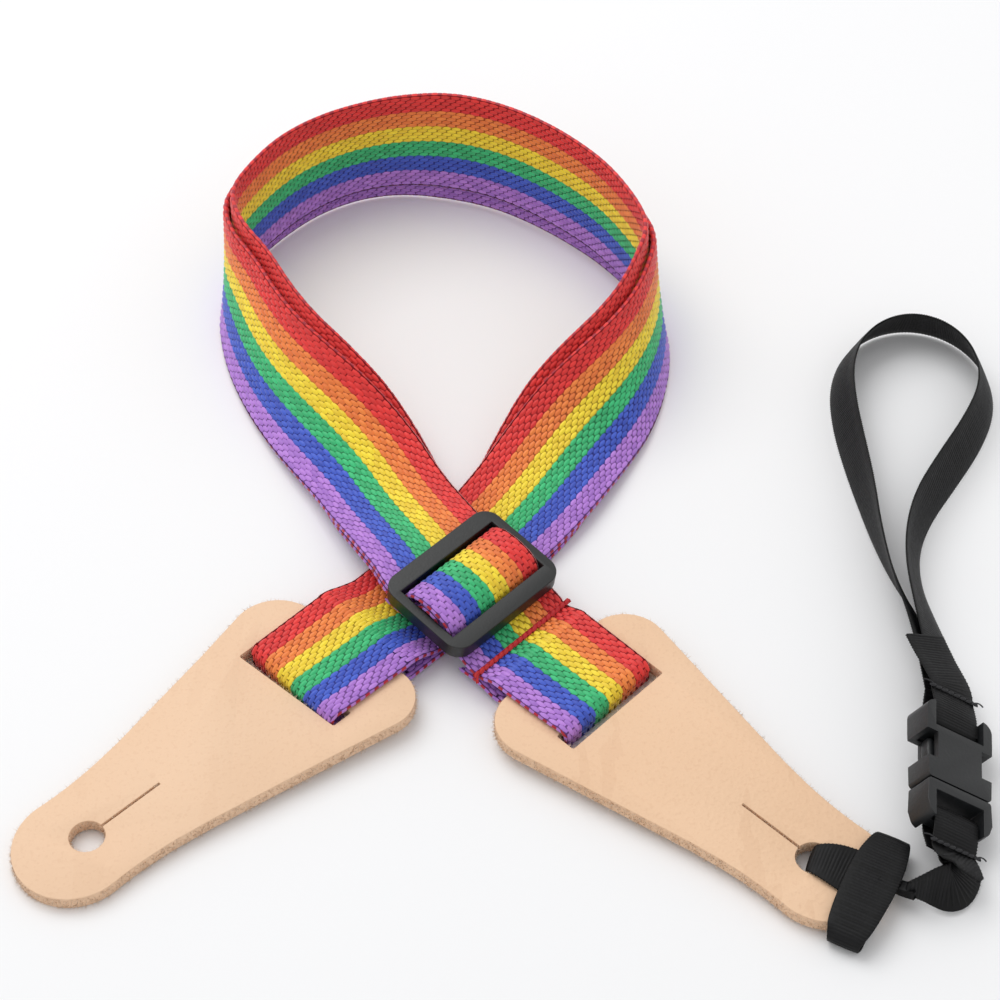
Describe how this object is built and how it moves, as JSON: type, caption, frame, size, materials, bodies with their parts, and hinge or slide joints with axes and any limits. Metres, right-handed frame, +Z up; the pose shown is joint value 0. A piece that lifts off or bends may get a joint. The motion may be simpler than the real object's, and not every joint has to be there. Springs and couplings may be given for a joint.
{
  "type": "instrument strap",
  "caption": "Short rainbow instrument strap: doubled woven loop with a slider, two leather button tabs and a ribbon tether with a side-release buckle.",
  "frame": {"origin": "on the table under the middle of the webbing and leather", "axes": "+Z up from the table, +Y from the leather tabs towards the top of the webbing loop, +X towards the ribbon tether"},
  "size_m": [0.1925, 0.2056, 0.0298],
  "materials": {
    "webbing": "satin woven, six lengthwise colours",
    "leather": "natural vegetable tan",
    "ribbon": "ribbed",
    "slider_plastic": "satin",
    "buckle_plastic": "satin",
    "red_thread": "twisted thread",
    "black_thread": "twisted thread"
  },
  "bodies": {
    "webbing": {"webbing_outer_layer": "webbing", "webbing_inner_layer": "webbing", "webbing_tail_run": "webbing", "webbing_folded_end": "webbing", "tab_stitch": "red_thread"},
    "slider": {"slider_frame": "slider_plastic", "webbing_hump": "webbing", "webbing_bar_loop": "webbing"},
    "tab_left": {"leather_tab_left": "leather", "webbing_turn_left": "webbing"},
    "tab_right": {"leather_tab_right": "leather", "webbing_turn_right": "webbing", "hitch_hole_band": "ribbon", "hitch_cross_band": "ribbon"},
    "tether": {"ribbon_tether": "ribbon", "ribbon_plug_fold": "ribbon", "plug_fold_stitch": "black_thread", "buckle_plug": "buckle_plastic"},
    "socket": {"buckle_socket": "buckle_plastic", "ribbon_socket_fold": "ribbon", "socket_fold_stitch": "black_thread", "ribbon_head_loop": "ribbon"},
    "arm_left": {"release_arm_left": "buckle_plastic"},
    "arm_right": {"release_arm_right": "buckle_plastic"}
  },
  "joints": [
    {"name": "tab_left_swing", "type": "hinge", "parent": "webbing", "child": "tab_left", "pos_m": [-0.01667, -0.0356, 0.00647], "axis": [-0.6884, 0.7254, 0], "range_deg": [0, 60]},
    {"name": "tab_right_swing", "type": "hinge", "parent": "webbing", "child": "tab_right", "pos_m": [0.01699, -0.04031, 0.00645], "axis": [-0.6934, -0.7206, 0], "range_deg": [0, 60]},
    {"name": "slider_adjust", "type": "slide", "parent": "webbing", "child": "slider", "axis": [-0.7111, 0.6891, 0.1392], "range_m": [0, 0.01], "deforming": ["webbing_hump", "webbing_bar_loop"]},
    {"name": "tether_swing", "type": "hinge", "parent": "tab_right", "child": "tether", "pos_m": [0.0785, -0.0958, 0.003], "axis": [0, -1, 0], "range_deg": [0, 45]},
    {"name": "buckle_release", "type": "slide", "parent": "tether", "child": "socket", "axis": [0.1098, 0.9931, 0.0402], "range_m": [0, 0.014]},
    {"name": "release_left", "type": "hinge", "parent": "tether", "child": "arm_left", "pos_m": [0.08786, -0.07503, 0.00864], "axis": [-0.516, 0.0915, -0.8517], "range_deg": [0, 6], "stiffness_Nm_per_rad": 0.02},
    {"name": "release_right", "type": "hinge", "parent": "tether", "child": "arm_right", "pos_m": [0.09347, -0.07551, 0.00519], "axis": [-0.516, 0.0915, -0.8517], "range_deg": [-6, 0], "stiffness_Nm_per_rad": 0.02}
  ],
  "couplings": [
    {"joint": "release_right", "follows": "release_left", "ratio": -1}
  ]
}
